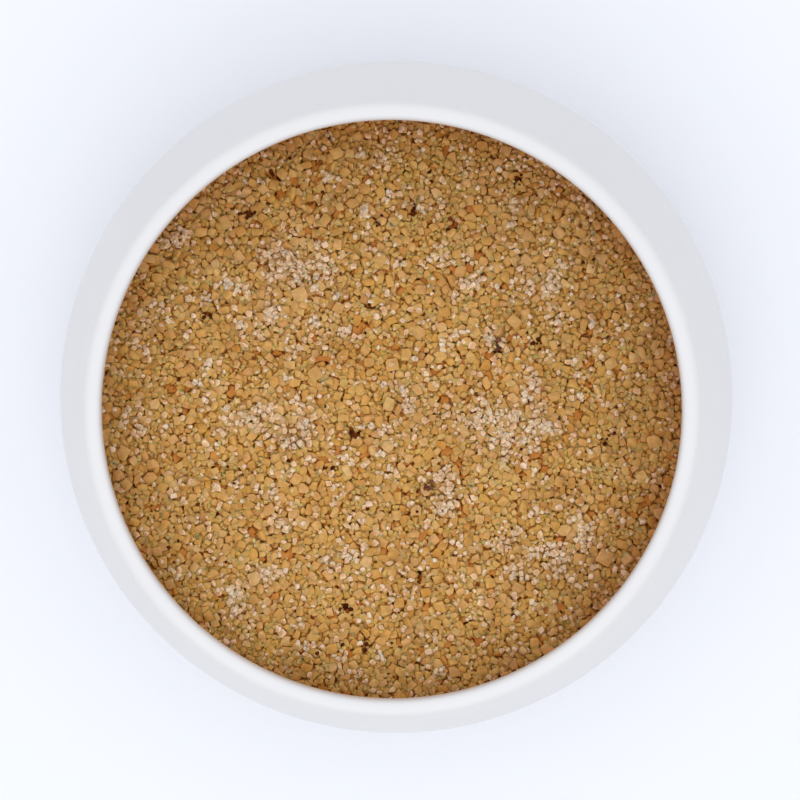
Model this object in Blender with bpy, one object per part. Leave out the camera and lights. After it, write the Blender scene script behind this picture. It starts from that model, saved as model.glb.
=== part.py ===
"""A round bowl of glazed ceramic with a closed-in mouth, filled with coarse brown cane sugar.

Metres, +Z up. The origin is the middle of the flat base, on the surface that the bowl stands on.
"""

import math
import random

import bmesh
import bpy
from mathutils import Vector, noise
from mathutils.geometry import delaunay_2d_cdt

MM = 0.001

# The bowl, turned about Z. Radii are from the axis, heights from the table.
HEIGHT = 42.0 * MM
BASE_R = 20.0 * MM
BELLY_R = 40.5 * MM
BELLY_Z = 20.0 * MM
LIP_MID_R = 34.15 * MM
LIP_ROUND = 1.15 * MM
LIP_MID_Z = HEIGHT - LIP_ROUND
LIP_FULL = 0.62
CLOSING = 1.6
BELLY_WALL = 2.9 * MM
FLOOR_R = 17.0 * MM
FLOOR_Z = 3.6 * MM
TURN_STEPS = 96

# How many straight runs stand for each curve of the profile.
UNDERSIDE_RUNS = 7
SHOULDER_RUNS = 5
LIP_RUNS = 6
INNER_SHOULDER_RUNS = 3
INNER_BELLY_RUNS = 4

# The sugar, clear of the glaze by GAP. Its top is a low mound that leans, FILL_Z high at the wall on average.
GAP = 0.3 * MM
FILL_Z = 27.5 * MM
LEAN_X = -0.07
LEAN_Y = -0.16
MOUND = 2.5 * MM
SWAY = 0.16 * MM
SWAY_PER_M = 70.0
SWAY_SLICE = 0.37
GRAIN_PITCH = 1.14 * MM
GRAIN_JITTER = 0.24 * MM
CREST_MM = (0.02, 0.30)
PIT_MM = (0.18, 0.42)
RIM_MARGIN = 0.62 * MM
LEDGE = 1.0 * MM
SEED = 26

WELD = 0.001 * MM
CERAMIC_COLOUR = (0.80, 0.80, 0.79, 1.0)
CERAMIC_ROUGHNESS = 0.3
SUGAR_COLOUR = (0.50, 0.30, 0.10, 1.0)
SUGAR_ROUGHNESS = 0.5


def clear_scene():
    for obj in list(bpy.data.objects):
        bpy.data.objects.remove(obj, do_unlink=True)


def plain_material(name, colour, roughness):
    material = bpy.data.materials.new(name)
    material.use_nodes = True
    shader = material.node_tree.nodes["Principled BSDF"]
    shader.inputs["Base Color"].default_value = colour
    shader.inputs["Roughness"].default_value = roughness
    shader.inputs["Metallic"].default_value = 0.0
    return material


def lean_at_lip():
    """The angle from upright at which the outer wall runs into the lip."""
    drop = LIP_MID_Z - BELLY_Z
    closing_in = BELLY_R - LIP_MID_R - LIP_ROUND
    return math.atan(CLOSING * closing_in / drop)


def outer_radius(z):
    """Radius of the outside: a rounded underside, then a belly that closes in to the lip."""
    if z <= BELLY_Z:
        below = 1.0 - z / BELLY_Z
        return BASE_R + (BELLY_R - BASE_R) * math.sqrt(1.0 - below * below)
    lean = lean_at_lip()
    end_r = LIP_MID_R + LIP_ROUND * math.cos(lean)
    end_z = LIP_MID_Z + LIP_ROUND * math.sin(lean)
    share = (z - BELLY_Z) / (end_z - BELLY_Z)
    return BELLY_R - (BELLY_R - end_r) * share**CLOSING


def inner_radius(z):
    """Radius of the hollow: a rounded bottom, then a wall that thins towards the lip."""
    belly = BELLY_R - BELLY_WALL
    if z <= BELLY_Z:
        below = (BELLY_Z - z) / (BELLY_Z - FLOOR_Z)
        return FLOOR_R + (belly - FLOOR_R) * math.sqrt(max(0.0, 1.0 - below * below))
    lean = lean_at_lip()
    end_r = LIP_MID_R - LIP_ROUND * math.cos(lean)
    end_z = LIP_MID_Z - LIP_ROUND * math.sin(lean)
    share = (z - BELLY_Z) / (end_z - BELLY_Z)
    return belly - (belly - end_r) * share**CLOSING


def lip_point(turn):
    """A point on the lip's round, which is fuller on its inner half."""
    out = math.cos(turn)
    up = math.sin(turn)
    if out < 0.0:
        out = -abs(out) ** LIP_FULL
        up = math.copysign(abs(up) ** LIP_FULL, up)
    return LIP_MID_R + LIP_ROUND * out, LIP_MID_Z + LIP_ROUND * up


def curve_points(radius_at, low, high, runs, rounded_end):
    """Points of a profile from low to high, closer together where the curve turns flat."""
    points = []
    for i in range(runs + 1):
        share = i / runs
        if rounded_end:
            share = 1.0 - math.cos(share * math.pi / 2)
        z = low + (high - low) * share
        points.append((radius_at(z), z))
    return points


def hollow_profile():
    """The hollow's half section as (radius, height), from under the lip down to the floor's middle."""
    top_z = LIP_MID_Z - LIP_ROUND * math.sin(lean_at_lip())
    points = curve_points(inner_radius, BELLY_Z, top_z, INNER_SHOULDER_RUNS, False)[::-1]
    points += curve_points(inner_radius, FLOOR_Z, BELLY_Z, INNER_BELLY_RUNS, True)[-2::-1]
    return points + [(0.0, FLOOR_Z)]


def bowl_profile():
    """The bowl's half section as (radius, height), from the base's middle round to the floor's middle."""
    lean = lean_at_lip()
    lip_low_z = LIP_MID_Z + LIP_ROUND * math.sin(lean)
    points = [(0.0, 0.0)]
    points += curve_points(outer_radius, 0.0, BELLY_Z, UNDERSIDE_RUNS, True)
    points += curve_points(outer_radius, BELLY_Z, lip_low_z, SHOULDER_RUNS, False)[1:]
    for i in range(1, LIP_RUNS):
        points.append(lip_point(lean + math.pi * i / LIP_RUNS))
    return points + hollow_profile()


def link_object(name, mesh, material):
    obj = bpy.data.objects.new(name, mesh)
    bpy.context.scene.collection.objects.link(obj)
    mesh.materials.append(material)
    return obj


def make_bowl():
    """The bowl's section, turned once round Z."""
    shape = bmesh.new()
    last = None
    for radius, z in reversed(bowl_profile()):
        vert = shape.verts.new((radius, 0.0, z))
        if last is not None:
            shape.edges.new((last, vert))
        last = vert
    bmesh.ops.spin(
        shape,
        geom=list(shape.verts) + list(shape.edges),
        cent=(0.0, 0.0, 0.0),
        axis=(0.0, 0.0, 1.0),
        angle=2 * math.pi,
        steps=TURN_STEPS,
        use_merge=True,
    )
    bmesh.ops.remove_doubles(shape, verts=shape.verts, dist=WELD)
    bmesh.ops.recalc_face_normals(shape, faces=shape.faces)
    mesh = bpy.data.meshes.new("bowl")
    shape.to_mesh(mesh)
    shape.free()
    mesh.shade_smooth()
    return link_object("bowl", mesh, plain_material("glazed_ceramic", CERAMIC_COLOUR, CERAMIC_ROUGHNESS))


def inward_of(start, end):
    """The unit vector at right angles to this run of the hollow's wall, pointing into the hollow."""
    along = Vector(end) - Vector(start)
    return Vector((along.y, -along.x)).normalized()


def sugar_section():
    """The half section that bounds the sugar: the hollow's own corners, each moved in by GAP."""
    wall = hollow_profile()
    moved = [Vector(wall[0]) + GAP * inward_of(wall[0], wall[1])]
    for before, here, after in zip(wall, wall[1:], wall[2:]):
        inward = (inward_of(before, here) + inward_of(here, after)).normalized()
        moved.append(Vector(here) + inward * GAP / inward.dot(inward_of(before, here)))
    return moved


def section_radius(section, z):
    """The radius of a section, listed from the top down, at a height."""
    for above, below in zip(section, section[1:]):
        if z >= below.y:
            return below.lerp(above, (z - below.y) / (above.y - below.y)).x
    return section[-1].x


def sugar_level(x, y):
    """The sugar's top without its grains."""
    share = (x * x + y * y) / inner_radius(FILL_Z) ** 2
    sway = SWAY * noise.noise(Vector((x * SWAY_PER_M, y * SWAY_PER_M, SWAY_SLICE)))
    return FILL_Z + LEAN_X * x + LEAN_Y * y + MOUND * (1.0 - share) + sway


def rim_places(section):
    """Where the sugar's top meets its side, once for each step of the bowl's turn."""
    places = []
    for i in range(TURN_STEPS):
        turn = 2 * math.pi * i / TURN_STEPS
        z = FILL_Z
        for _ in range(4):
            radius = section_radius(section, z)
            x = radius * math.cos(turn)
            y = radius * math.sin(turn)
            z = sugar_level(x, y)
        places.append((x, y, z))
    return places


def grain_tops(section):
    """Places of crests and pits over the sugar: two crests to each pit, as loose grains lie."""
    draw = random.Random(SEED)
    row_step = GRAIN_PITCH * math.sqrt(3.0) / 2
    rows = int(BELLY_R / row_step)
    places = []
    for j in range(-rows, rows + 1):
        for i in range(-2 * rows, 2 * rows + 1):
            x = (i + j / 2) * GRAIN_PITCH + draw.uniform(-1, 1) * GRAIN_JITTER
            y = j * row_step + draw.uniform(-1, 1) * GRAIN_JITTER
            level = sugar_level(x, y)
            if math.hypot(x, y) > section_radius(section, level) - RIM_MARGIN:
                continue
            if (i - j) % 3 == 0:
                lift = -draw.uniform(*PIT_MM) * MM
            else:
                lift = draw.uniform(*CREST_MM) * MM
            places.append((x, y, level + lift))
    return places


def make_sugar():
    """A solid that fills the hollow up to the sugar's top, with bumps about as big as the grains."""
    section = sugar_section()
    rim = rim_places(section)
    places = rim + grain_tops(section)
    flat = [Vector((x, y)) for x, y, _ in places]
    rim_edges = [(i, (i + 1) % TURN_STEPS) for i in range(TURN_STEPS)]
    flat, _, faces, origins, _, _ = delaunay_2d_cdt(flat, rim_edges, [], 1, WELD)

    shape = bmesh.new()
    tops = []
    by_place = {}
    for point, found in zip(flat, origins):
        vert = shape.verts.new((point.x, point.y, places[found[0]][2]))
        tops.append(vert)
        by_place[found[0]] = vert
    for face in faces:
        shape.faces.new([tops[k] for k in face])
    ring = [by_place[i] for i in range(TURN_STEPS)]
    lowest = min(z for _, _, z in rim) - LEDGE
    for corner in section:
        if corner.y > lowest:
            continue
        below = []
        for i in range(TURN_STEPS):
            turn = 2 * math.pi * i / TURN_STEPS
            below.append(shape.verts.new((corner.x * math.cos(turn), corner.x * math.sin(turn), corner.y)))
        for k in range(TURN_STEPS):
            following = (k + 1) % TURN_STEPS
            shape.faces.new((ring[k], ring[following], below[following], below[k]))
        ring = below
    shape.faces.new(ring)
    bmesh.ops.recalc_face_normals(shape, faces=shape.faces)
    bmesh.ops.triangulate(shape, faces=[f for f in shape.faces if len(f.verts) > 4])
    mesh = bpy.data.meshes.new("sugar")
    shape.to_mesh(mesh)
    shape.free()
    return link_object("sugar", mesh, plain_material("brown_sugar", SUGAR_COLOUR, SUGAR_ROUGHNESS))


clear_scene()
make_bowl()
make_sugar()
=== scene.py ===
"""Looks of a small white glazed bowl filled with coarse brown cane sugar, seen from nearly straight above.

Lengths are in millimetres until a mesh or a light is made, +Z is up and the bowl stands on Z = 0.
"""

import math
from collections import namedtuple

import bpy
import numpy as np
from mathutils import Matrix, Vector


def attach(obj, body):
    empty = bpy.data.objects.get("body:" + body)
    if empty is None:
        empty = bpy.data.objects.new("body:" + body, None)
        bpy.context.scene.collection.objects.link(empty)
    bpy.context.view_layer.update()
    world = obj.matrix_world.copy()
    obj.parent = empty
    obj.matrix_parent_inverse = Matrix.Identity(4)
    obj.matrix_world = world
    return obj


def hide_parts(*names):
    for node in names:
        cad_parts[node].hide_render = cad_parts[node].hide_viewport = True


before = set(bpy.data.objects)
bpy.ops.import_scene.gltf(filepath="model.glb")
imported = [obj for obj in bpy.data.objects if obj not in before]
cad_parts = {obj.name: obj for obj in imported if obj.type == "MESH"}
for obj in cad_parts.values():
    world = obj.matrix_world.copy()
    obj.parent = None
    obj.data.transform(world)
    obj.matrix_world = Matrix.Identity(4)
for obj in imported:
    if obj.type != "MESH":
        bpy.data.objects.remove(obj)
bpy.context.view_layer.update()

MM = 0.001
SEED = 410

# The bowl's section, as the solid has it.
HEIGHT = 42.0
BASE_R = 20.0
BELLY_R = 40.5
BELLY_Z = 20.0
LIP_MID_R = 34.15
LIP_ROUND = 1.15
LIP_MID_Z = HEIGHT - LIP_ROUND
LIP_FULL = 0.62
CLOSING = 1.6
BELLY_WALL = 2.9
FLOOR_R = 17.0
FLOOR_Z = 3.6

# How finely the bowl is turned, and how many straight runs stand for each curve of its profile.
TURN_STEPS = 288
OUTSIDE_RUNS = 60
LIP_RUNS = 22
INSIDE_RUNS = 16

# The sugar: its mean level at the wall, how its top leans and swells, and how deep the loose crystals lie.
FILL_Z = 27.5
LEAN = (-0.07, -0.16)
MOUND = 2.5
SIDE_GAP = 0.06
CORE_DEPTH = 0.85
CORE_GRID = 180
CORE_LEDGE = 0.5

# The map of heights on which the crystals are laid, relative to the sugar's level. After each batch its mean
# is looked at, LEVEL_MARGIN clear of the wall. DISC_EDGE, in cells, rounds the discs that are read from it.
CELL = 0.1
MAP_HALF = 38.5
MAP_START = -2.4
FULL_LEVEL = -0.1
LEVEL_MARGIN = 0.8
BATCH = 150
DISC_EDGE = 0.3

# In how many directions the place where sugar and glaze meet is worked out.
WALL_STEPS = 181

# How each lot of crystals is laid: its sizes as typical, spread of the logarithm, least and most, how far
# it tilts, the share of its height that sinks in, and how many random places the lowest is chosen from. A
# lot without tries is laid at given places.
Lot = namedtuple("Lot", "sizes tilt sink tries", defaults=(0,))
BODY = Lot(sizes=(0.98, 0.2, 0.5, 1.5), tilt=0.15, sink=0.2, tries=8)
MAIN = Lot(sizes=(0.84, 0.25, 0.42, 1.35), tilt=0.1, sink=0.5, tries=10)
LARGE = Lot(sizes=(1.5, 0.1, 1.3, 1.75), tilt=0.06, sink=0.55, tries=12)
FILLERS = Lot(sizes=(0.5, 0.2, 0.32, 0.7), tilt=0.3, sink=0.3, tries=24)
PALE = Lot(sizes=(0.57, 0.2, 0.38, 0.95), tilt=0.25, sink=0.35, tries=6)
FINES = Lot(sizes=(0.52, 0.22, 0.36, 0.8), tilt=0.25, sink=0.5)
DARK = Lot(sizes=(0.44, 0.25, 0.3, 0.65), tilt=0.4, sink=0.55)
DARK_STRAY = Lot(sizes=(0.35, 0.2, 0.25, 0.5), tilt=0.4, sink=0.55)

# Of the main crystals this share lies flat, and the others tilt further.
FLAT_SHARE = 0.7
EDGE_TILT = 0.4

# How a crystal rests: over which shares of its size it feels and covers the surface, and how it follows
# the slope. CLOSED_RISE keeps lowest_place away from what is kept open.
SEARCH_REACH = 0.4
REST_REACH = 0.38
REST_QUANTILE = 0.55
SLOPE_FOLLOWED = 0.4
STEEPEST = 0.8
LEAST_UPRIGHT = 0.5
COVER_REACH = 0.62
COVER_HALF = 0.47
CLOSED_RISE = 9.0

# How many there are of those that aren't just laid until the sugar is level.
LARGE_COUNT = 26
FILLER_COUNT = 3000
PALE_COUNT = 1000
CLUMPS_PER_MM2 = 1.2
STRAY_CLUMPS = 140
STRAY_FINES = 750
DARK_STRAYS = 120

# How the pale fines lie: clumps spread over a share of a frosted spot's radius, strays, and margins to
# the wall.
FROST_PULL = 0.6
FROST_FALLOFF = 0.7
CLUMP_SCATTER = 0.7
CLUMP_SPREAD = (0.3, 0.85)
CLUMP_GRAINS = (6, 16)
STRAY_CLUMP_SHARE = 0.5
PALE_AMONG_FINES = 0.3
CLUMP_MARGIN = 1.5
STRAY_MARGIN = 0.6
FINE_MARGIN = 0.5

# Each pit: discs that stay open in it, and the dark specks, painted shade of the pit, strewn along and
# across it.
PIT_DISCS = 3
PIT_SHIFT = 0.5
PIT_DISC_R = (0.35, 0.5)
PIT_SPECKS = (5, 9)
PIT_LENGTH = 0.65
PIT_WIDTH = 0.25

# A crystal is a block one across whose ends have SIDES corners. Each kind has a number of shapes, whose
# corners are cut off by a share of the side within limits and whose top has a bevel.
SIDES = 6
NARROW = (0.6, 1.0)
TALL = (0.6, 0.9)
BEVEL_RANGE = (0.75, 1.25)
CORNER_SHIFT = 0.09
SIDE_LEAN = 0.12
FOOT_SCALE = 0.9
LOWER_EDGE = 0.4
Form = namedtuple("Form", "count cut bevel")
BODY_FORM = Form(count=30, cut=(0.05, 0.4), bevel=0.08)
FORMS = {
    "amber_crystals": Form(count=60, cut=(0.05, 0.55), bevel=0.07),
    "golden_crystals": Form(count=60, cut=(0.05, 0.55), bevel=0.07),
    "honey_crystals": Form(count=60, cut=(0.05, 0.55), bevel=0.07),
    "large_crystals": Form(count=16, cut=(0.05, 0.4), bevel=0.05),
    "pale_crystals": Form(count=30, cut=(0.2, 0.5), bevel=0.16),
    "white_fines": Form(count=30, cut=(0.1, 0.5), bevel=0.16),
    "dark_specks_and_pit_shade": Form(count=16, cut=(0.1, 0.5), bevel=0.1),
}

# The photograph's camera, over the mouth and a little towards the photo's top.
VIEW_HEIGHT = 327.5
VIEW_SLOPE = (0.02934, 0.07922)
VIEW_AIM = (1.06, 1.402)
LENS_MM = 130.54
SENSOR_MM = 36.0
FRAME_PX = 800
PX_PER_MM = 8.72
CLIP_M = (0.01, 5.0)

# Where the paler fines lie, as places in the photo's frame, each with a radius and a strength.
FROST_SPOTS = (
    (505, 432, 20, 1.0), (533, 421, 17, 1.0), (257, 416, 14, 0.9), (239, 597, 12, 0.9),
    (297, 421, 17, 0.9), (318, 274, 15, 0.9), (588, 533, 13, 0.8), (461, 416, 14, 0.8),
    (557, 272, 13, 0.8), (444, 485, 13, 0.8), (324, 329, 11, 0.75), (533, 281, 12, 0.7),
    (444, 507, 13, 0.7), (560, 556, 14, 0.65), (259, 575, 12, 0.6), (276, 521, 11, 0.6),
    (506, 544, 11, 0.6), (337, 562, 9, 0.6), (406, 389, 10, 0.6), (274, 276, 17, 0.6),
    (511, 202, 10, 0.6), (292, 252, 20, 0.5), (495, 337, 11, 0.6), (230, 426, 12, 0.6),
    (260, 328, 12, 0.6), (365, 211, 9, 0.6), (286, 329, 17, 0.5), (172, 239, 8, 0.6),
    (516, 380, 10, 0.5), (146, 313, 10, 0.5), (415, 410, 13, 0.5), (240, 295, 13, 0.5),
    (464, 292, 13, 0.45), (535, 566, 15, 0.45), (133, 420, 11, 0.45),
)

# Places in the photo's frame of the darkest specks and of the biggest single crystals.
# The dark specks laid at these pits are painted shade.
PITS = (
    (518, 181), (499, 348), (536, 340), (207, 316), (247, 215), (345, 607), (366, 640), (452, 229),
    (413, 209), (377, 221), (354, 433), (608, 440), (419, 576), (369, 305), (274, 179), (428, 486),
)
BIG_GRAINS = ((347, 470), (255, 578), (316, 374), (389, 404), (463, 430), (392, 365))

# Looks of each kind, with colours in display values: its colours by tone, its edges' colour and share (a
# painted highlight), what it is multiplied by when deep (painted shade of the gaps), how red, green and blue
# scatter in it, and its roughness and specular level.
Look = namedtuple("Look", "stops edge edge_share deep scatter roughness specular", defaults=(0.2,))
# Painted shade of the gaps: what crystals low down are multiplied by, for the darker kinds and for the pale
# ones.
GAP_SHADE = (248, 199, 132)
PALE_GAP_SHADE = (246, 226, 206)
AMBER_SCATTER = (1.4, 0.7, 0.25)
WHITE_SCATTER = (0.8, 0.6, 0.36)
LOOKS = {
    "amber_crystals": Look(
        stops=((0.0, (208, 160, 79)), (0.25, (208, 166, 90)), (1.0, (214, 174, 105))),
        edge=(222, 182, 114), edge_share=0.15, deep=GAP_SHADE, scatter=AMBER_SCATTER, roughness=(0.4, 0.6)),
    "golden_crystals": Look(
        stops=((0.0, (210, 169, 95)), (0.6, (214, 175, 106)), (1.0, (218, 181, 118))),
        edge=(224, 188, 122), edge_share=0.15, deep=GAP_SHADE, scatter=AMBER_SCATTER, roughness=(0.4, 0.6)),
    "honey_crystals": Look(
        stops=((0.0, (210, 168, 107)), (0.3, (213, 172, 107)), (1.0, (220, 184, 129))),
        edge=(230, 194, 140), edge_share=0.15, deep=GAP_SHADE, scatter=AMBER_SCATTER, roughness=(0.4, 0.6)),
    "large_crystals": Look(
        stops=((0.0, (210, 171, 104)), (1.0, (217, 181, 122))),
        edge=(226, 190, 130), edge_share=0.3, deep=GAP_SHADE, scatter=AMBER_SCATTER, roughness=(0.3, 0.5)),
    "pale_crystals": Look(
        stops=((0.0, (218, 167, 120)), (1.0, (233, 187, 141))),
        edge=(252, 221, 187), edge_share=0.75, deep=PALE_GAP_SHADE, scatter=WHITE_SCATTER, roughness=(0.2, 0.45)),
    "white_fines": Look(
        stops=((0.0, (222, 180, 140)), (1.0, (247, 212, 182))),
        edge=(252, 228, 204), edge_share=0.6, deep=PALE_GAP_SHADE, scatter=WHITE_SCATTER, roughness=(0.25, 0.5)),
    # The dark specks: painted shade in the pits, and dark strays.
    "dark_specks_and_pit_shade": Look(
        stops=((0.0, (66, 24, 8)), (0.7, (104, 50, 16)), (1.0, (156, 86, 40))),
        edge=(110, 58, 20), edge_share=0.3, deep=GAP_SHADE, scatter=AMBER_SCATTER, roughness=(0.3, 0.5),
        specular=0.03),
}
FROST_COLOUR = (228, 200, 164)
FROST_SHARE = 0.25
SCATTER_SHARE = 0.8
SCATTER_MM = 0.5
# The core's colours, darker than the loose crystals': painted shade of the gaps in which it shows.
CORE_COLOURS = ((176, 104, 38), (198, 134, 60))
CORE_ROUGHNESS = (0.4, 0.6)
CORE_SPECULAR = 0.15
GLAZE_ROUGHNESS = (0.31, 0.37)
FLOOR_ROUGHNESS = 0.9

# Painted shade of the wall on the sugar, multiplied into the crystals' colours on top of the shade that the
# light
# casts: its tint, how it grows towards the far side, and the strength and width of its broad and its close
# part.
PAINTED_WALL_SHADE = (226, 196, 180)
SHADE_MIDDLE = 0.42
SHADE_LEAN = (0.36, 0.5)
SHADE_BROAD = (1.2, 5.2)
SHADE_CLOSE = (0.5, 1.8)

# A crystal is deep, and takes the painted shade of the gaps, from DEEP_START over the sugar's level down,
# and wholly so DEEP_RANGE lower.
DEEP_START = 0.1
DEEP_RANGE = 1.5

# How much of its cell in the texture map a crystal one across takes up.
BAKE_FILL = 0.8

# Noises as scale and detail, the ranges of them that are used, and their colours from low to high.
NOISE_RANGE = (0.3, 0.7)
BROAD_RANGE = (0.35, 0.65)
GLAZE_NOISE = (55.0, 3.0)
GLAZE_GLOSS_NOISE = (120.0, 2.0)
BROAD_NOISE = (240.0, 2.5)
MOTTLE_NOISE = (1900.0, 2.0)
GLOSS_NOISE = (2600.0, 1.0)
BUMP_NOISE = (5200.0, 2.0)
CORE_NOISE = (1100.0, 3.0)
CORE_BUMP_NOISE = (2200.0, 3.0)
FLOOR_NOISE = (9.0, 2.0)
GLAZE_TINTS = ((0.788, 0.782, 0.785, 1), (0.803, 0.797, 0.80, 1))
BROAD_TINTS = ((0.92, 0.895, 0.865, 1), (1.07, 1.09, 1.10, 1))
MOTTLE_TINTS = ((0.86, 0.835, 0.81, 1), (1.08, 1.095, 1.11, 1))
FLOOR_TINTS = ((0.90, 0.915, 0.955, 1), (0.91, 0.925, 0.965, 1))

# Bumps as distance in millimetres and strength.
CRYSTAL_BUMP = (0.02, 0.35)
CORE_BUMP = (0.15, 0.6)

# The light is a sky, dimmer at the horizon than overhead, and one round lamp. The floor is wide enough to
# fill the photo's view.
SKY_COLOUR = (0.972, 0.985, 1.018, 1.0)
SKY_STRENGTH = (0.44, 1.32)
LAMP_PLACE = (10, -170, 340)
LAMP_AIM = (0, -10, 30)
LAMP_SIZE = 240
LAMP_WATTS = 0.097
LAMP_COLOUR = (0.985, 0.985, 1.0)
FLOOR_HALF = 900.0


def srgb(red, green, blue):
    """A linear colour from display values of 0 to 255."""
    out = []
    for value in (red, green, blue):
        share = value / 255
        out.append(share / 12.92 if share <= 0.04045 else ((share + 0.055) / 1.055) ** 2.4)
    return (*out, 1.0)


def camera_axes():
    """The camera's place and its forward, up and right directions, in millimetres."""
    eye = Vector((VIEW_SLOPE[0] * VIEW_HEIGHT, VIEW_SLOPE[1] * VIEW_HEIGHT, HEIGHT + VIEW_HEIGHT))
    ahead = (Vector((*VIEW_AIM, HEIGHT)) - eye).normalized()
    up = (Vector((0, 1, 0)) - ahead.y * ahead).normalized()
    return eye, ahead, up, ahead.cross(up)


def spot(px, py):
    """The place on the sugar's top that the photo shows at a pixel."""
    eye, ahead, up, right = camera_axes()
    unit = SENSOR_MM / LENS_MM / FRAME_PX
    ray = ahead + right * (px - FRAME_PX / 2) * unit + up * (FRAME_PX / 2 - py) * unit
    hit = eye + ray * (FILL_Z - eye.z) / ray.z
    # The level depends on the place, so the place is found in a few rounds.
    for _ in range(3):
        hit = eye + ray * (sugar_level(hit.x, hit.y) - eye.z) / ray.z
    return hit.x, hit.y


# The bowl's form

def lean_at_lip():
    """The angle from upright at which the outer wall runs into the lip."""
    closing_in = BELLY_R - LIP_MID_R - LIP_ROUND
    return math.atan(CLOSING * closing_in / (LIP_MID_Z - BELLY_Z))


def outer_radius(z):
    """Radius of the outside: a rounded underside, then a belly that closes in to the lip."""
    if z <= BELLY_Z:
        below = 1.0 - z / BELLY_Z
        return BASE_R + (BELLY_R - BASE_R) * math.sqrt(1.0 - below * below)
    lean = lean_at_lip()
    end_r = LIP_MID_R + LIP_ROUND * math.cos(lean)
    end_z = LIP_MID_Z + LIP_ROUND * math.sin(lean)
    share = min(1.0, (z - BELLY_Z) / (end_z - BELLY_Z))
    return BELLY_R - (BELLY_R - end_r) * share**CLOSING


def inner_radius(z):
    """Radius of the hollow: a rounded bottom, then a wall that thins towards the lip."""
    belly = BELLY_R - BELLY_WALL
    if z <= BELLY_Z:
        below = (BELLY_Z - z) / (BELLY_Z - FLOOR_Z)
        return FLOOR_R + (belly - FLOOR_R) * math.sqrt(max(0.0, 1.0 - below * below))
    lean = lean_at_lip()
    end_r = LIP_MID_R - LIP_ROUND * math.cos(lean)
    end_z = LIP_MID_Z - LIP_ROUND * math.sin(lean)
    share = min(1.0, (z - BELLY_Z) / (end_z - BELLY_Z))
    return belly - (belly - end_r) * share**CLOSING


def lip_point(turn):
    """A point on the lip's round, which is fuller on its inner half."""
    out = math.cos(turn)
    up = math.sin(turn)
    if out < 0.0:
        out = -abs(out) ** LIP_FULL
        up = math.copysign(abs(up) ** LIP_FULL, up)
    return LIP_MID_R + LIP_ROUND * out, LIP_MID_Z + LIP_ROUND * up


def sugar_level(x, y):
    """The sugar's top without its crystals: a low mound that leans."""
    share = (x * x + y * y) / inner_radius(FILL_Z) ** 2
    return FILL_Z + LEAN[0] * x + LEAN[1] * y + MOUND * (1.0 - share)


def wall_table():
    """Directions, and how far out in each the glaze meets the sugar's top."""
    turns = np.linspace(-math.pi, math.pi, WALL_STEPS)
    reach = []
    for turn in turns:
        radius = inner_radius(FILL_Z)
        # The level depends on the radius, so the radius is found in a few rounds.
        for _ in range(4):
            radius = inner_radius(sugar_level(radius * math.cos(turn), radius * math.sin(turn)))
        reach.append(radius)
    return turns, np.array(reach)


WALL_TABLE = wall_table()


def wall_radius(x, y):
    """How far out the glaze meets the sugar's top, in the direction of a place."""
    return np.interp(np.arctan2(y, x), *WALL_TABLE)


def curve_points(radius_at, low, high, runs, rounded_end):
    """Points of a profile from low to high, closer together where the curve turns flat."""
    points = []
    for i in range(runs + 1):
        share = i / runs
        if rounded_end:
            share = 1.0 - math.cos(share * math.pi / 2)
        z = low + (high - low) * share
        points.append((radius_at(z), z))
    return points


def hollow_profile(runs):
    """The hollow's half section, from under the lip down to the floor's middle."""
    top_z = LIP_MID_Z - LIP_ROUND * math.sin(lean_at_lip())
    points = curve_points(inner_radius, BELLY_Z, top_z, runs, False)[::-1]
    points += curve_points(inner_radius, FLOOR_Z, BELLY_Z, runs, True)[-2::-1]
    return points + [(0.0, FLOOR_Z)]


def bowl_profile():
    """The bowl's half section, from the base's middle round to the floor's middle."""
    lean = lean_at_lip()
    lip_low_z = LIP_MID_Z + LIP_ROUND * math.sin(lean)
    points = [(0.0, 0.0), (BASE_R / 2, 0.0)]
    points += curve_points(outer_radius, 0.0, BELLY_Z, OUTSIDE_RUNS, True)
    points += curve_points(outer_radius, BELLY_Z, lip_low_z, OUTSIDE_RUNS, False)[1:]
    for i in range(1, LIP_RUNS):
        points.append(lip_point(lean + math.pi * i / LIP_RUNS))
    return points + hollow_profile(INSIDE_RUNS)


def mesh_object(name, verts_mm, faces):
    mesh = bpy.data.meshes.new(name)
    mesh.from_pydata((np.asarray(verts_mm) * MM).tolist(), [], faces)
    mesh.validate()
    obj = bpy.data.objects.new(name, mesh)
    bpy.context.scene.collection.objects.link(obj)
    return obj


def turned(name, profile, steps):
    """A closed turned body. The profile starts and ends on the axis."""
    turns = np.linspace(0.0, 2 * math.pi, steps, endpoint=False)
    rings = profile[1:-1]
    verts = [(0.0, 0.0, profile[0][1])]
    for radius, z in rings:
        verts += [(radius * math.cos(t), radius * math.sin(t), z) for t in turns]
    verts.append((0.0, 0.0, profile[-1][1]))
    last = len(verts) - 1
    faces = []
    for k in range(steps):
        n = (k + 1) % steps
        faces.append((0, 1 + n, 1 + k))
        for j in range(len(rings) - 1):
            low = 1 + j * steps
            high = low + steps
            faces.append((low + k, low + n, high + n, high + k))
        top = 1 + (len(rings) - 1) * steps
        faces.append((top + k, top + n, last))
    return mesh_object(name, verts, faces)


# One crystal's shape

def block_outline(draw, narrow, cut):
    """Six points round a crystal's end: an uneven four-sided block with two corners cut off."""
    corners = np.array([(1, 1), (-1, 1), (-1, -1), (1, -1)]) * (0.5, 0.5 * narrow)
    corners = corners + draw.uniform(-CORNER_SHIFT, CORNER_SHIFT, (4, 2))
    whole = draw.choice(4, 2, replace=False)
    points = []
    for k in range(4):
        here, before, after = corners[k], corners[k - 1], corners[(k + 1) % 4]
        if k in whole:
            points.append(here)
        else:
            points.append(here + (before - here) * draw.uniform(*cut))
            points.append(here + (after - here) * draw.uniform(*cut))
    return np.array(points)


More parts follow.
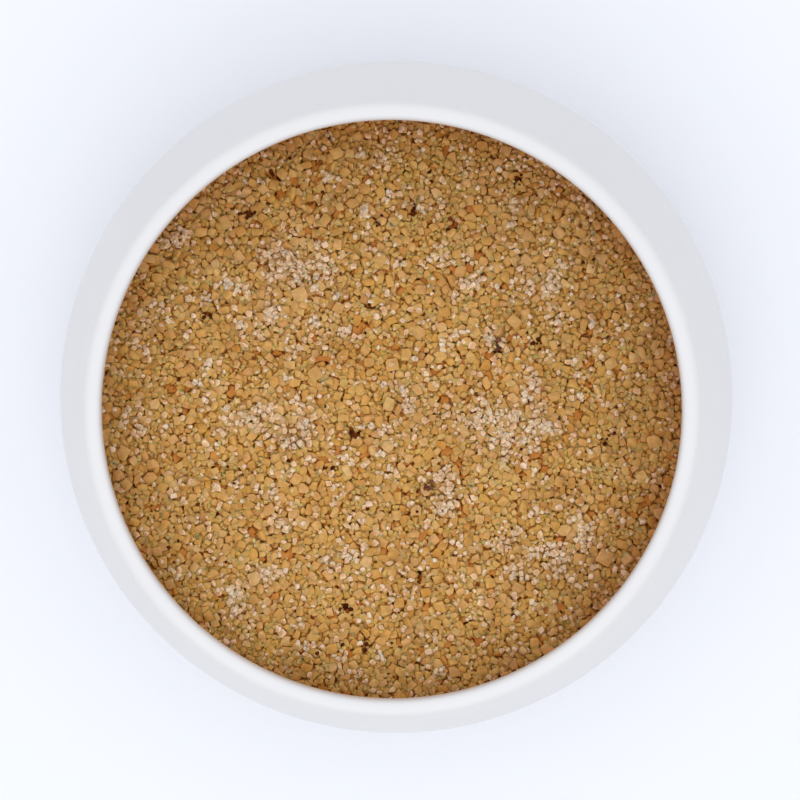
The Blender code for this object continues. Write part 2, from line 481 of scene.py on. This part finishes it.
def block_shape(draw, narrow, tall, cut, bevel):
    """A crystal one across, as three rings of points: its foot, and its top below and above the bevel."""
    plan = block_outline(draw, narrow, cut)
    lean = draw.uniform(-SIDE_LEAN, SIDE_LEAN, 2)
    half = tall / 2
    rings = []
    for z, scale in ((-half, FOOT_SCALE), (half - bevel, 1.0), (half, 1 - 2 * bevel)):
        rings.append(np.column_stack([plan * scale + lean * z, np.full(SIDES, z)]))
    return np.concatenate(rings)


def block_faces():
    """Faces of three rings of points with both ends closed, and how much each is an edge of the crystal."""
    faces = [tuple(range(SIDES - 1, -1, -1)), tuple(range(2 * SIDES, 3 * SIDES))]
    edges = [0.0, 0.0]
    for ring in range(2):
        low = ring * SIDES
        high = low + SIDES
        for k in range(SIDES):
            n = (k + 1) % SIDES
            faces.append((low + k, low + n, high + n, high + k))
            edges.append(LOWER_EDGE if ring == 0 else 1.0)
    return faces, edges


Row = namedtuple("Row", "x y z size lean_x lean_y upright yaw shape tone number")


class Kind:
    """One kind of crystal: its shapes, and a row for each crystal that lies in the heap."""

    def __init__(self, draw, name, form):
        self.name = name
        self.rows = []
        self.narrows = draw.uniform(*NARROW, form.count)
        shapes = []
        for narrow in self.narrows:
            tall = draw.uniform(*TALL)
            bevel = form.bevel * draw.uniform(*BEVEL_RANGE)
            shapes.append(block_shape(draw, narrow, tall, form.cut, bevel))
        self.shapes = np.array(shapes)

    def tall(self, shape):
        """The height of a shape that is one across."""
        return float(np.ptp(self.shapes[shape][:, 2]))


# Laying the crystals

class Heap:
    """The sugar's surface as heights on a square grid, and which crystal shows at each place."""

    def __init__(self, draw):
        self.draw = draw
        self.laid = 0
        self.count = int(2 * MAP_HALF / CELL)
        side = (np.arange(self.count) + 0.5) * CELL - MAP_HALF
        self.x, self.y = np.meshgrid(side, side, indexing="ij")
        self.height = np.full((self.count, self.count), MAP_START)
        self.owner = np.full((self.count, self.count), -1)
        self.closed = np.zeros((self.count, self.count), bool)
        self.inside = np.hypot(self.x, self.y) < inner_radius(FILL_Z) - LEVEL_MARGIN
        self.discs = {}

    def cells(self, x, y):
        """The map's cells at places."""
        i = ((np.asarray(x) + MAP_HALF) / CELL).astype(int)
        j = ((np.asarray(y) + MAP_HALF) / CELL).astype(int)
        return i, j

    def disc(self, radius):
        """Cell offsets of a disc."""
        reach = max(1, round(radius / CELL))
        if reach not in self.discs:
            steps = np.arange(-reach, reach + 1)
            dx, dy = np.meshgrid(steps, steps, indexing="ij")
            inside = dx * dx + dy * dy <= (reach + DISC_EDGE) ** 2
            self.discs[reach] = (dx[inside], dy[inside])
        return self.discs[reach]

    def heights(self, x, y, radius):
        """Heights over a disc about each place."""
        dx, dy = self.disc(radius)
        i, j = self.cells(x, y)
        return self.height[i[..., None] + dx, j[..., None] + dy]

    def slope(self, x, y, radius):
        """The surface's rise towards +X and +Y over a disc."""
        dx, dy = self.disc(radius)
        found = self.heights(x, y, radius)
        found = found - found.mean()
        spread = CELL * max(1, (dx * dx).sum())
        return float((found * dx).sum() / spread), float((found * dy).sum() / spread)

    def level(self):
        """The map's mean height, clear of the wall."""
        return float(self.height[self.inside].mean())

    def keep_open(self, x, y, radius):
        """Marks a disc that lowest_place avoids."""
        self.closed |= np.hypot(self.x - x, self.y - y) < radius

    def random_places(self, count, margin):
        """Places spread evenly over the sugar, clear of the wall by a margin."""
        turn = self.draw.uniform(-math.pi, math.pi, count)
        radius = (np.interp(turn, *WALL_TABLE) - SIDE_GAP - margin) * np.sqrt(self.draw.random(count))
        return radius * np.cos(turn), radius * np.sin(turn)

    def random_size(self, typical, spread, least, most):
        """A size from a lognormal spread, held between the least and the most."""
        return float(np.clip(self.draw.lognormal(math.log(typical), spread), least, most))

    def lowest_place(self, size, tries, frost_pull=0.0):
        """The lowest of some random places that aren't kept open, with a pull towards the frosted spots."""
        xs, ys = self.random_places(tries, size / 2)
        score = self.heights(xs, ys, size * SEARCH_REACH).mean(axis=1)
        score = score + CLOSED_RISE * self.closed[self.cells(xs, ys)]
        if frost_pull:
            score = score - frost_pull * frost_map(xs, ys)
        best = score.argmin()
        return float(xs[best]), float(ys[best])

    def lay(self, kind, place, size, tilt, sink):
        """Lays one crystal at a place, on what is under it and sunk in it by a share of its height."""
        draw = self.draw
        x, y = place
        rest = float(np.quantile(self.heights(x, y, size * REST_REACH), REST_QUANTILE))
        rise_x, rise_y = self.slope(x, y, size / 2)
        normal = np.array([
            -SLOPE_FOLLOWED * np.clip(rise_x, -STEEPEST, STEEPEST) + draw.normal(0.0, tilt),
            -SLOPE_FOLLOWED * np.clip(rise_y, -STEEPEST, STEEPEST) + draw.normal(0.0, tilt),
            1.0,
        ])
        normal /= np.linalg.norm(normal)
        shape = int(draw.integers(len(kind.shapes)))
        tall = size * kind.tall(shape)
        middle = rest + tall * (0.5 - sink)
        yaw = draw.uniform(0, 2 * math.pi)
        self.laid += 1
        kind.rows.append(Row(x, y, middle, size, *normal, yaw, shape, draw.random(), self.laid))
        self.cover(x, y, middle + tall / 2, size, kind.narrows[shape], normal, yaw)

    def cover(self, x, y, top, size, narrow, normal, yaw):
        """Raises the map to the last crystal's tilted top."""
        dx, dy = self.disc(size * COVER_REACH)
        along = (dx * math.cos(yaw) + dy * math.sin(yaw)) * CELL
        across = (dy * math.cos(yaw) - dx * math.sin(yaw)) * CELL
        own = (np.abs(along) < size * COVER_HALF) & (np.abs(across) < size * COVER_HALF * narrow)
        dx, dy = dx[own], dy[own]
        level = top - (normal[0] * dx + normal[1] * dy) * CELL / max(LEAST_UPRIGHT, normal[2])
        i, j = self.cells(x, y)
        i, j = i + dx, j + dy
        higher = self.height[i, j] < level
        self.height[i[higher], j[higher]] = level[higher]
        self.owner[i[higher], j[higher]] = self.laid


def frost_map(x, y):
    """How much pale, fine sugar lies about a place, from 0 to 1."""
    total = np.zeros_like(x)
    for centre_x, centre_y, radius, strength in FROST_PLACES:
        away = np.hypot(x - centre_x, y - centre_y) / radius
        total = total + strength * np.exp(-FROST_FALLOFF * away**2)
    return np.clip(total, 0, 1)


FROST_PLACES = [(*spot(px, py), radius / PX_PER_MM, strength) for px, py, radius, strength in FROST_SPOTS]


def dark_places(draw):
    """Places of the dark specks, painted shade of each pit, strewn along a short line."""
    places = []
    for px, py in PITS:
        x, y = spot(px, py)
        heading = draw.uniform(0, math.pi)
        for _ in range(int(draw.integers(*PIT_SPECKS))):
            along = draw.normal(0, PIT_LENGTH)
            across = draw.normal(0, PIT_WIDTH)
            place_x = x + along * math.cos(heading) - across * math.sin(heading)
            place_y = y + along * math.sin(heading) + across * math.cos(heading)
            places.append((place_x, place_y))
    return places


def fine_places(heap):
    """Places of the white fines: tight clumps about the frosted spots, smaller stray clumps, single bits."""
    draw = heap.draw
    clumps = []
    for x, y, radius, strength in FROST_PLACES:
        scatter = radius * CLUMP_SCATTER
        for _ in range(max(1, round(CLUMPS_PER_MM2 * strength * radius * radius))):
            clumps.append((x + draw.normal(0, scatter), y + draw.normal(0, scatter), 1.0))
    strays = heap.random_places(STRAY_CLUMPS, CLUMP_MARGIN)
    clumps += [(x, y, STRAY_CLUMP_SHARE) for x, y in zip(*strays)]
    places = []
    for x, y, share in clumps:
        spread_x, spread_y = draw.uniform(*CLUMP_SPREAD, 2)
        for _ in range(int(draw.integers(*CLUMP_GRAINS) * share)):
            places.append((x + draw.normal(0, spread_x), y + draw.normal(0, spread_y)))
    places += zip(*heap.random_places(STRAY_FINES, STRAY_MARGIN))
    return [(x, y) for x, y in places if math.hypot(x, y) < wall_radius(x, y) - FINE_MARGIN]


def open_pits(heap):
    """Keeps a few discs open about each pit."""
    draw = heap.draw
    for px, py in PITS:
        x, y = spot(px, py)
        for _ in range(PIT_DISCS):
            disc_x = x + draw.uniform(-PIT_SHIFT, PIT_SHIFT)
            disc_y = y + draw.uniform(-PIT_SHIFT, PIT_SHIFT)
            heap.keep_open(disc_x, disc_y, draw.uniform(*PIT_DISC_R))


def lay_body(heap):
    """Packs the sugar's body, of which only the top's relief is kept."""
    body = Kind(heap.draw, "body", BODY_FORM)
    while heap.level() < -CORE_DEPTH:
        for _ in range(BATCH):
            size = heap.random_size(*BODY.sizes)
            heap.lay(body, heap.lowest_place(size, BODY.tries), size, BODY.tilt, BODY.sink)


def lay_main(heap, kinds):
    """Rains crystals into the lowest places until the sugar is level. Most lie flat and some on edge."""
    while heap.level() < FULL_LEVEL:
        for _ in range(BATCH):
            kind = kinds[int(heap.draw.integers(len(kinds)))]
            size = heap.random_size(*MAIN.sizes)
            tilt = MAIN.tilt if heap.draw.random() < FLAT_SHARE else EDGE_TILT
            heap.lay(kind, heap.lowest_place(size, MAIN.tries), size, tilt, MAIN.sink)


def lay_large(heap, kind):
    """Lays the biggest crystals flat: first those whose places the photo shows, then strays."""
    places = [spot(px, py) for px, py in BIG_GRAINS]
    for k in range(LARGE_COUNT):
        size = heap.random_size(*LARGE.sizes)
        place = places[k] if k < len(places) else heap.lowest_place(size, LARGE.tries)
        heap.lay(kind, place, size, LARGE.tilt, LARGE.sink)


def lay_fillers(heap, kinds):
    """Drops small crystals into the deepest gaps."""
    for _ in range(FILLER_COUNT):
        kind = kinds[int(heap.draw.integers(len(kinds)))]
        size = heap.random_size(*FILLERS.sizes)
        heap.lay(kind, heap.lowest_place(size, FILLERS.tries), size, FILLERS.tilt, FILLERS.sink)


def lay_dark(heap, kind):
    """Lays the dark specks: a few in each pit as its painted shade, and small strays."""
    for place in dark_places(heap.draw):
        heap.lay(kind, place, heap.random_size(*DARK.sizes), DARK.tilt, DARK.sink)
    for place in zip(*heap.random_places(DARK_STRAYS, STRAY_MARGIN)):
        heap.lay(kind, place, heap.random_size(*DARK_STRAY.sizes), DARK_STRAY.tilt, DARK_STRAY.sink)


def lay_pale(heap, pale, fines):
    """Lays the pale crystals, more of them where the sugar is frosted, and then the fines."""
    for _ in range(PALE_COUNT):
        size = heap.random_size(*PALE.sizes)
        heap.lay(pale, heap.lowest_place(size, PALE.tries, FROST_PULL), size, PALE.tilt, PALE.sink)
    for place in fine_places(heap):
        kind = pale if heap.draw.random() < PALE_AMONG_FINES else fines
        heap.lay(kind, place, heap.random_size(*FINES.sizes), FINES.tilt, FINES.sink)


# From the crystals to meshes

def turn_matrices(normals, yaws):
    """A rotation for each crystal: its own Z goes to the normal, after a turn round Z."""
    side = np.stack([np.cos(yaws), np.sin(yaws), np.zeros_like(yaws)], 1)
    side -= normals * (side * normals).sum(1, keepdims=True)
    side /= np.linalg.norm(side, axis=1, keepdims=True)
    return np.stack([side, np.cross(normals, side), normals], axis=2)


def painted_wall_shade_at(x, y):
    """How much painted shade of the bowl's wall darkens and tints the sugar: most beside it, and towards its
    far side.
    """
    to_wall = wall_radius(x, y) - np.hypot(x, y)
    lean_x, lean_y = SHADE_LEAN
    far_side = np.clip(SHADE_MIDDLE + (lean_x * x + lean_y * y) / inner_radius(FILL_Z), 0, 1)
    broad_strength, broad_width = SHADE_BROAD
    broad = broad_strength * far_side * np.exp(-(to_wall / broad_width) ** 2)
    close_strength, close_width = SHADE_CLOSE
    close = close_strength * np.exp(-(to_wall / close_width) ** 2)
    return np.clip(broad + close, 0, 1)


def bake_map(own, loops):
    """Texture places of every corner, with a cell of the square for each crystal."""
    count = len(own)
    across = math.ceil(math.sqrt(count))
    flat = own[:, :, :2] * BAKE_FILL + 0.5
    flat[..., 0] += (np.arange(count) % across)[:, None]
    flat[..., 1] += (np.arange(count) // across)[:, None]
    return (flat / across).reshape(-1, 2)[loops]


def crystal_object(kind, material):
    """All crystals of a kind as one mesh, with tone, edge, depth, wall shade and frost on each face. Edge,
    depth and wall shade drive painted highlights and painted shade in the material.
    """
    rows = Row(*np.array(kind.rows, float).T)
    count = len(rows.x)
    places = np.stack([rows.x, rows.y, rows.z + sugar_level(rows.x, rows.y)], 1)
    own = kind.shapes[rows.shape.astype(int)]
    turns = turn_matrices(np.stack([rows.lean_x, rows.lean_y, rows.upright], 1), rows.yaw)
    verts = np.einsum("nij,nvj->nvi", turns, own * rows.size[:, None, None]) + places[:, None]
    per_crystal = verts.shape[1]

    faces, edges = block_faces()
    sizes = np.array([len(f) for f in faces])
    corners = np.concatenate([np.array(f) for f in faces])
    loops = (corners[None, :] + np.arange(count)[:, None] * per_crystal).ravel()
    starts = np.concatenate([[0], np.cumsum(np.tile(sizes, count))[:-1]])

    mesh = bpy.data.meshes.new(kind.name)
    mesh.vertices.add(count * per_crystal)
    mesh.vertices.foreach_set("co", (verts * MM).astype(np.float32).ravel())
    mesh.loops.add(len(loops))
    mesh.loops.foreach_set("vertex_index", loops.astype(np.int32))
    mesh.polygons.add(len(starts))
    mesh.polygons.foreach_set("loop_start", starts.astype(np.int32))
    mesh.update(calc_edges=True)

    for name, values in (
        ("tone", np.repeat(rows.tone, len(faces))),
        # How much each face is an edge, for the painted highlight on the edges.
        ("edge", np.tile(edges, count)),
        # How deep each crystal lies, for the painted shade of the gaps.
        ("deep", np.repeat(np.clip((DEEP_START - rows.z) / DEEP_RANGE, 0, 1), len(faces))),
        # How much painted shade of the wall each crystal takes.
        ("shade", np.repeat(painted_wall_shade_at(rows.x, rows.y), len(faces))),
        ("frost", np.repeat(frost_map(rows.x, rows.y), len(faces))),
    ):
        layer = mesh.attributes.new(name, "FLOAT", "FACE")
        layer.data.foreach_set("value", np.asarray(values, np.float32))
    uv = mesh.uv_layers.new(name="OFBake")
    uv.data.foreach_set("uv", bake_map(own, loops).astype(np.float32).ravel())

    mesh.materials.append(material)
    obj = bpy.data.objects.new(kind.name, mesh)
    bpy.context.scene.collection.objects.link(obj)
    return obj


# Materials

def new_material(name):
    material = bpy.data.materials.new(name)
    material.use_nodes = True
    tree = material.node_tree
    return material, tree, tree.nodes["Principled BSDF"]


def node(tree, kind, **settings):
    made = tree.nodes.new(kind)
    for name, value in settings.items():
        setattr(made, name, value)
    return made


def attribute(tree, name):
    return node(tree, "ShaderNodeAttribute", attribute_name=name).outputs["Fac"]


def noise(tree, scale, detail):
    """Noise fixed to the object."""
    where = node(tree, "ShaderNodeTexCoord")
    made = node(tree, "ShaderNodeTexNoise")
    tree.links.new(where.outputs["Object"], made.inputs["Vector"])
    made.inputs["Scale"].default_value = scale
    made.inputs["Detail"].default_value = detail
    return made.outputs["Fac"]


def ramp(tree, source, stops):
    """A colour ramp over the source, from pairs of a place and a colour."""
    made = node(tree, "ShaderNodeValToRGB")
    points = made.color_ramp.elements
    while len(points) < len(stops):
        points.new(0.5)
    for point, (place, colour) in zip(points, stops):
        point.position = place
        point.color = colour
    tree.links.new(source, made.inputs["Fac"])
    return made.outputs["Color"]


def patchy(tree, source, tints, between=NOISE_RANGE):
    """A ramp over the source from the first tint to the second."""
    return ramp(tree, source, list(zip(between, tints)))


def mixed(tree, factor, first, second, way="MIX"):
    """A mix of two colours. Each value may be a socket or a constant."""
    made = node(tree, "ShaderNodeMix", data_type="RGBA", blend_type=way)
    for socket, value in ((made.inputs[0], factor), (made.inputs[6], first), (made.inputs[7], second)):
        if isinstance(value, bpy.types.NodeSocket):
            tree.links.new(value, socket)
        else:
            socket.default_value = value
    return made.outputs[2]


def times(tree, source, factor):
    made = node(tree, "ShaderNodeMath", operation="MULTIPLY")
    tree.links.new(source, made.inputs[0])
    made.inputs[1].default_value = factor
    return made.outputs[0]


def ranged(tree, source, to_range, from_range=NOISE_RANGE):
    """The source, carried from one range to another."""
    made = node(tree, "ShaderNodeMapRange")
    tree.links.new(source, made.inputs["Value"])
    made.inputs["From Min"].default_value = from_range[0]
    made.inputs["From Max"].default_value = from_range[1]
    made.inputs["To Min"].default_value = to_range[0]
    made.inputs["To Max"].default_value = to_range[1]
    return made.outputs["Result"]


def bumped(tree, shader, source, distance_mm, strength):
    """Gives the shader bumps from the source."""
    made = node(tree, "ShaderNodeBump")
    made.inputs["Distance"].default_value = distance_mm * MM
    made.inputs["Strength"].default_value = strength
    tree.links.new(source, made.inputs["Height"])
    tree.links.new(made.outputs["Normal"], shader.inputs["Normal"])


def tinted(tree, colour, factor, tint):
    """The colour, multiplied by a tint as far as the factor goes."""
    return mixed(tree, factor, colour, mixed(tree, 1.0, colour, srgb(*tint), "MULTIPLY"))


def glaze_material():
    """White glaze: nearly even, a touch greyer in broad patches and a little smoother in others."""
    material, tree, shader = new_material("white_glaze")
    patches = patchy(tree, noise(tree, *GLAZE_NOISE), GLAZE_TINTS)
    tree.links.new(patches, shader.inputs["Base Color"])
    roughness = ranged(tree, noise(tree, *GLAZE_GLOSS_NOISE), GLAZE_ROUGHNESS)
    tree.links.new(roughness, shader.inputs["Roughness"])
    return material


def crystal_material(name, look):
    """Sugar crystals, each coloured by its tone and frost, with painted highlights on its edges, painted
    shade low down in the gaps and painted shade by the wall.
    """
    material, tree, shader = new_material(name)
    colour = ramp(tree, attribute(tree, "tone"), [(place, srgb(*shown)) for place, shown in look.stops])
    # Painted highlight: the edges are paler, as if light glowed through them.
    colour = mixed(tree, times(tree, attribute(tree, "edge"), look.edge_share), colour, srgb(*look.edge))
    colour = mixed(tree, times(tree, attribute(tree, "frost"), FROST_SHARE), colour, srgb(*FROST_COLOUR))
    # Painted shade: crystals low down in the gaps are multiplied darker and redder.
    colour = tinted(tree, colour, attribute(tree, "deep"), look.deep)
    # Painted shade of the wall, multiplied into the colour.
    colour = tinted(tree, colour, attribute(tree, "shade"), PAINTED_WALL_SHADE)
    broad = patchy(tree, noise(tree, *BROAD_NOISE), BROAD_TINTS, BROAD_RANGE)
    colour = mixed(tree, 1.0, colour, broad, "MULTIPLY")
    mottle = patchy(tree, noise(tree, *MOTTLE_NOISE), MOTTLE_TINTS)
    colour = mixed(tree, 1.0, colour, mottle, "MULTIPLY")
    tree.links.new(colour, shader.inputs["Base Color"])
    roughness = ranged(tree, noise(tree, *GLOSS_NOISE), look.roughness)
    tree.links.new(roughness, shader.inputs["Roughness"])
    bumped(tree, shader, noise(tree, *BUMP_NOISE), *CRYSTAL_BUMP)
    shader.inputs["Specular IOR Level"].default_value = look.specular
    shader.inputs["Subsurface Weight"].default_value = SCATTER_SHARE
    shader.inputs["Subsurface Radius"].default_value = look.scatter
    shader.inputs["Subsurface Scale"].default_value = SCATTER_MM * MM
    return material


def core_material():
    """Crystals that show only in the gaps: a darker brown than the loose crystals, as painted shade of the
    gaps.
    """
    material, tree, shader = new_material("sugar_core")
    tints = [srgb(*shown) for shown in CORE_COLOURS]
    colour = patchy(tree, noise(tree, *CORE_NOISE), tints)
    tree.links.new(colour, shader.inputs["Base Color"])
    roughness = ranged(tree, noise(tree, *GLOSS_NOISE), CORE_ROUGHNESS)
    tree.links.new(roughness, shader.inputs["Roughness"])
    shader.inputs["Specular IOR Level"].default_value = CORE_SPECULAR
    bumped(tree, shader, noise(tree, *CORE_BUMP_NOISE), *CORE_BUMP)
    return material


def floor_material():
    """A matt white table with faint broad patches."""
    material, tree, shader = new_material("studio_floor")
    tree.links.new(patchy(tree, noise(tree, *FLOOR_NOISE), FLOOR_TINTS), shader.inputs["Base Color"])
    shader.inputs["Roughness"].default_value = FLOOR_ROUGHNESS
    return material


# Pieces

def make_bowl():
    bowl = turned("glazed_bowl", bowl_profile(), TURN_STEPS)
    bowl.data.shade_smooth()
    bowl.data.materials.append(glaze_material())
    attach(bowl, "root")
    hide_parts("bowl")


def disc_grid(count):
    """Places of a square grid bent into a disc one in radius, so that its border is the disc's rim."""
    side = np.linspace(-1.0, 1.0, count)
    a, b = np.meshgrid(side, side, indexing="ij")
    wide = np.abs(a) > np.abs(b)
    safe_a = np.where(wide, a, 1.0)
    safe_b = np.where(wide | (b == 0), 1.0, b)
    reach = np.where(wide, a, b)
    turn = np.where(wide, math.pi / 4 * b / safe_a, math.pi / 2 - math.pi / 4 * a / safe_b)
    return reach * np.cos(turn), reach * np.sin(turn)


def grid_border(count):
    """Numbers of a square grid's border points, once round."""
    last = count - 1
    ring = [i * count for i in range(last)]
    ring += [last * count + j for j in range(last)]
    ring += [i * count + last for i in range(last, 0, -1)]
    return ring + list(range(last, 0, -1))


def core_top(heap):
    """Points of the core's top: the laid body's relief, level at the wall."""
    grid_x, grid_y = disc_grid(CORE_GRID)
    rim_r = wall_radius(grid_x, grid_y) - SIDE_GAP
    grid_x, grid_y = grid_x * rim_r, grid_y * rim_r
    grid_z = heap.height[heap.cells(grid_x, grid_y)]
    grid_z[[0, -1], :] = -CORE_DEPTH
    grid_z[:, [0, -1]] = -CORE_DEPTH
    grid_z += sugar_level(grid_x, grid_y)
    return np.stack([grid_x, grid_y, grid_z], 2).reshape(-1, 3).tolist()


def make_core(heap):
    """The sugar under the loose crystals: it fills the hollow, and its top is relief of packed crystals."""
    verts = core_top(heap)
    faces = []
    for i in range(CORE_GRID - 1):
        for j in range(CORE_GRID - 1):
            k = i * CORE_GRID + j
            faces.append((k, k + CORE_GRID, k + CORE_GRID + 1, k + 1))
    ring = grid_border(CORE_GRID)
    turns = [math.atan2(verts[k][1], verts[k][0]) for k in ring]
    lowest = min(verts[k][2] for k in ring) - CORE_LEDGE
    for wall_r, wall_z in hollow_profile(INSIDE_RUNS)[:-1]:
        if wall_z > lowest:
            continue
        radius = wall_r - SIDE_GAP
        below = list(range(len(verts), len(verts) + len(ring)))
        verts += [(radius * math.cos(turn), radius * math.sin(turn), wall_z + SIDE_GAP) for turn in turns]
        for k in range(len(ring)):
            n = (k + 1) % len(ring)
            faces.append((ring[k], below[k], below[n], ring[n]))
        ring = below
    faces.append(tuple(ring[::-1]))
    core = mesh_object("sugar_core", verts, faces)
    core.data.materials.append(core_material())
    return core


def make_sugar():
    """Lays the whole heap, and makes its core and one piece for each kind, of the crystals that show."""
    draw = np.random.default_rng(SEED)
    heap = Heap(draw)
    open_pits(heap)
    lay_body(heap)
    pieces = [make_core(heap)]
    heap.owner[:] = -1

    kinds = [Kind(draw, name, form) for name, form in FORMS.items()]
    amber, golden, honey, large, pale, fines, dark = kinds
    lay_main(heap, (amber, golden, honey))
    lay_large(heap, large)
    lay_fillers(heap, (amber, golden, honey))
    lay_dark(heap, dark)
    lay_pale(heap, pale, fines)

    seen = set(np.unique(heap.owner).tolist())
    for kind in kinds:
        kind.rows = [row for row in kind.rows if row.number in seen]
        pieces.append(crystal_object(kind, crystal_material(kind.name, LOOKS[kind.name])))
    for piece in pieces:
        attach(piece, "root")
        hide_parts("sugar")


# Stage, light and camera

def make_floor():
    corners = [(x * FLOOR_HALF, y * FLOOR_HALF, 0) for x, y in ((-1, -1), (1, -1), (1, 1), (-1, 1))]
    floor = mesh_object("floor", corners, [(0, 1, 2, 3)])
    floor.data.materials.append(floor_material())


def area_light(name, place_mm, aim_mm, size_mm, watts, colour):
    light = bpy.data.lights.new(name, "AREA")
    light.shape = "DISK"
    light.size = size_mm * MM
    light.energy = watts
    light.color = colour
    obj = bpy.data.objects.new(name, light)
    bpy.context.scene.collection.objects.link(obj)
    obj.location = Vector(place_mm) * MM
    obj.rotation_euler = (Vector(aim_mm) - Vector(place_mm)).to_track_quat("-Z", "Y").to_euler()


def make_light():
    """A soft sky that is brightest overhead, and one near lamp over the photo's lower side."""
    world = bpy.data.worlds.new("soft_studio")
    world.use_nodes = True
    tree = world.node_tree
    back = tree.nodes["Background"]
    back.inputs["Color"].default_value = SKY_COLOUR
    where = node(tree, "ShaderNodeTexCoord")
    split = node(tree, "ShaderNodeSeparateXYZ")
    tree.links.new(where.outputs["Generated"], split.inputs["Vector"])
    strength = ranged(tree, split.outputs["Z"], SKY_STRENGTH, from_range=(0.0, 1.0))
    tree.links.new(strength, back.inputs["Strength"])
    bpy.context.scene.world = world
    area_light("overhead", LAMP_PLACE, LAMP_AIM, LAMP_SIZE, LAMP_WATTS, LAMP_COLOUR)


def make_camera():
    """The photograph's camera."""
    eye, ahead, up, right = camera_axes()
    camera = bpy.data.cameras.new("photo_camera")
    camera.lens = LENS_MM
    camera.sensor_width = SENSOR_MM
    camera.clip_start, camera.clip_end = CLIP_M
    obj = bpy.data.objects.new("photo_camera", camera)
    bpy.context.scene.collection.objects.link(obj)
    turn = Matrix((right, up, -ahead)).transposed().to_4x4()
    obj.matrix_world = Matrix.Translation(eye * MM) @ turn
    bpy.context.scene.camera = obj


make_bowl()
make_sugar()
make_floor()
make_light()
make_camera()
bpy.context.scene.view_settings.view_transform = "Standard"
